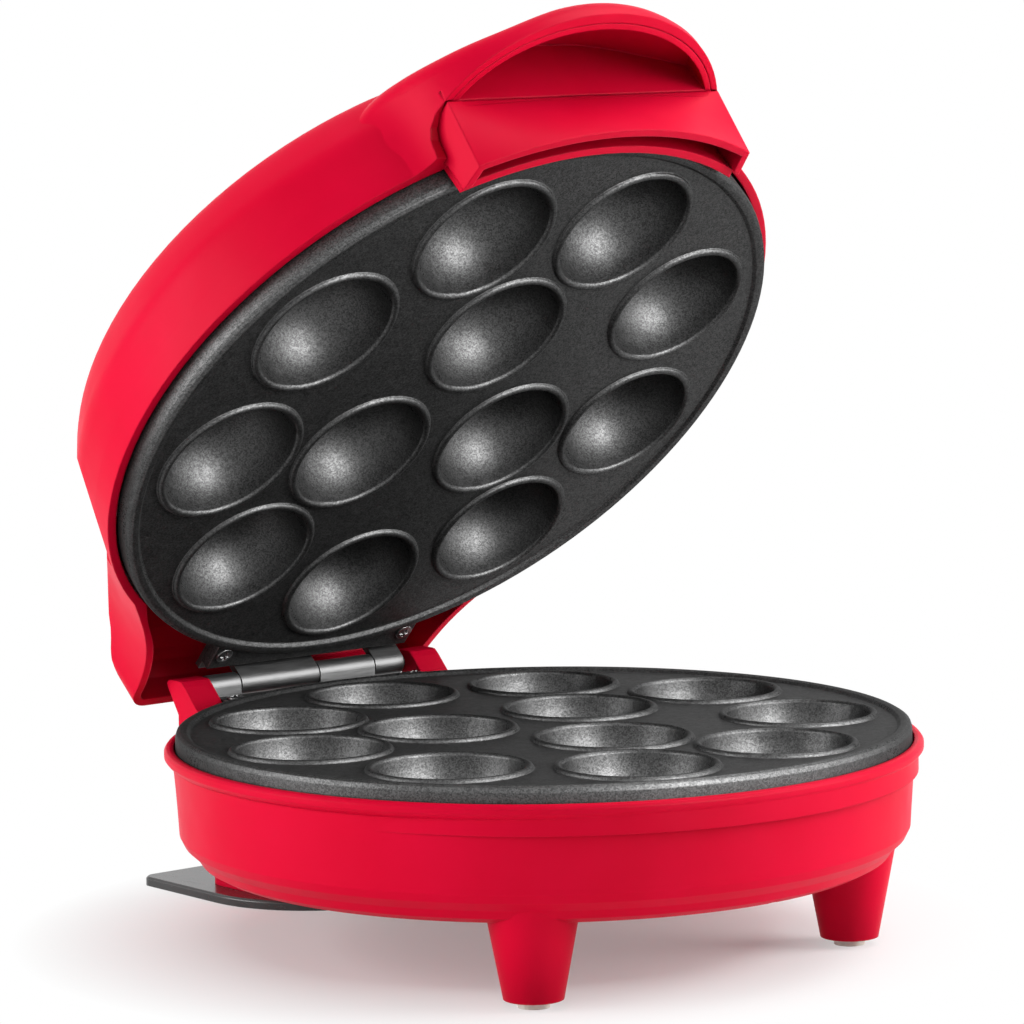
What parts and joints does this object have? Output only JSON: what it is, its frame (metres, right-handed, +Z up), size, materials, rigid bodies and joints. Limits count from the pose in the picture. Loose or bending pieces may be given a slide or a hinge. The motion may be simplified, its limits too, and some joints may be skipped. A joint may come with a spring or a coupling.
{
  "type": "cake pop maker",
  "caption": "Countertop cake pop maker with a round hinged lid: two cast plates with ball-half cups face each other, moulded housing on feet, front handle visor and rear stand.",
  "frame": {"origin": "on the standing surface, under the middle of the footprint's bounding box", "axes": "+Z up, +X along the hinge pin, +Y towards the hinge at the rear, handle towards -Y; lid modelled standing open"},
  "size_m": [0.2132, 0.251, 0.2628],
  "materials": {
    "red_plastic": "smooth moulded plastic, soft gloss",
    "non_stick": "cast, dark non-stick coating with a fine metallic fleck",
    "stand_coating": "dark satin coating",
    "foot_rubber": "pale matte rubber",
    "heater_sheath": "dull annealed sheath",
    "shield_steel": "plain sheet",
    "hinge_steel": "plated, satin",
    "screw_steel": "plated",
    "dark_insulator": "matte",
    "grommet_rubber": "matte",
    "red_lens": "clear tinted",
    "green_lens": "clear tinted",
    "lamp_glass": "small neon lamp"
  },
  "bodies": {
    "base": {"base_housing": "red_plastic", "foot_pads": "foot_rubber", "stand_plate": "stand_coating", "stand_screws": "screw_steel", "base_plate": "non_stick", "base_heater": "heater_sheath", "base_heater_clamps": "shield_steel", "base_clamp_screws": "screw_steel", "base_heat_shield": "shield_steel", "base_thermostat": "dark_insulator", "base_plate_screws": "screw_steel", "power_inlet": "grommet_rubber", "terminal_block": "dark_insulator", "hinge_lower_leaf": "hinge_steel", "hinge_lower_screws": "screw_steel", "hinge_pin": "hinge_steel"},
    "lid": {"lid_shell": "red_plastic", "lid_handle": "red_plastic", "handle_screws": "screw_steel", "lid_plate": "non_stick", "lid_heater": "heater_sheath", "lid_heater_clamps": "shield_steel", "lid_clamp_screws": "screw_steel", "lid_heat_shield": "shield_steel", "lid_thermostat": "dark_insulator", "lid_plate_screws": "screw_steel", "lid_shell_screws": "screw_steel", "hinge_upper_leaf": "hinge_steel", "hinge_upper_screws": "screw_steel", "power_lens": "red_lens", "ready_lens": "green_lens", "lamp_carrier": "dark_insulator", "lamps": "lamp_glass"}
  },
  "joints": [
    {"name": "lid_hinge", "type": "hinge", "parent": "base", "child": "lid", "pos_m": [0, 0.09309, 0.06327], "axis": [-1, 0, 0], "range_deg": [-47.9, 47.1]}
  ]
}
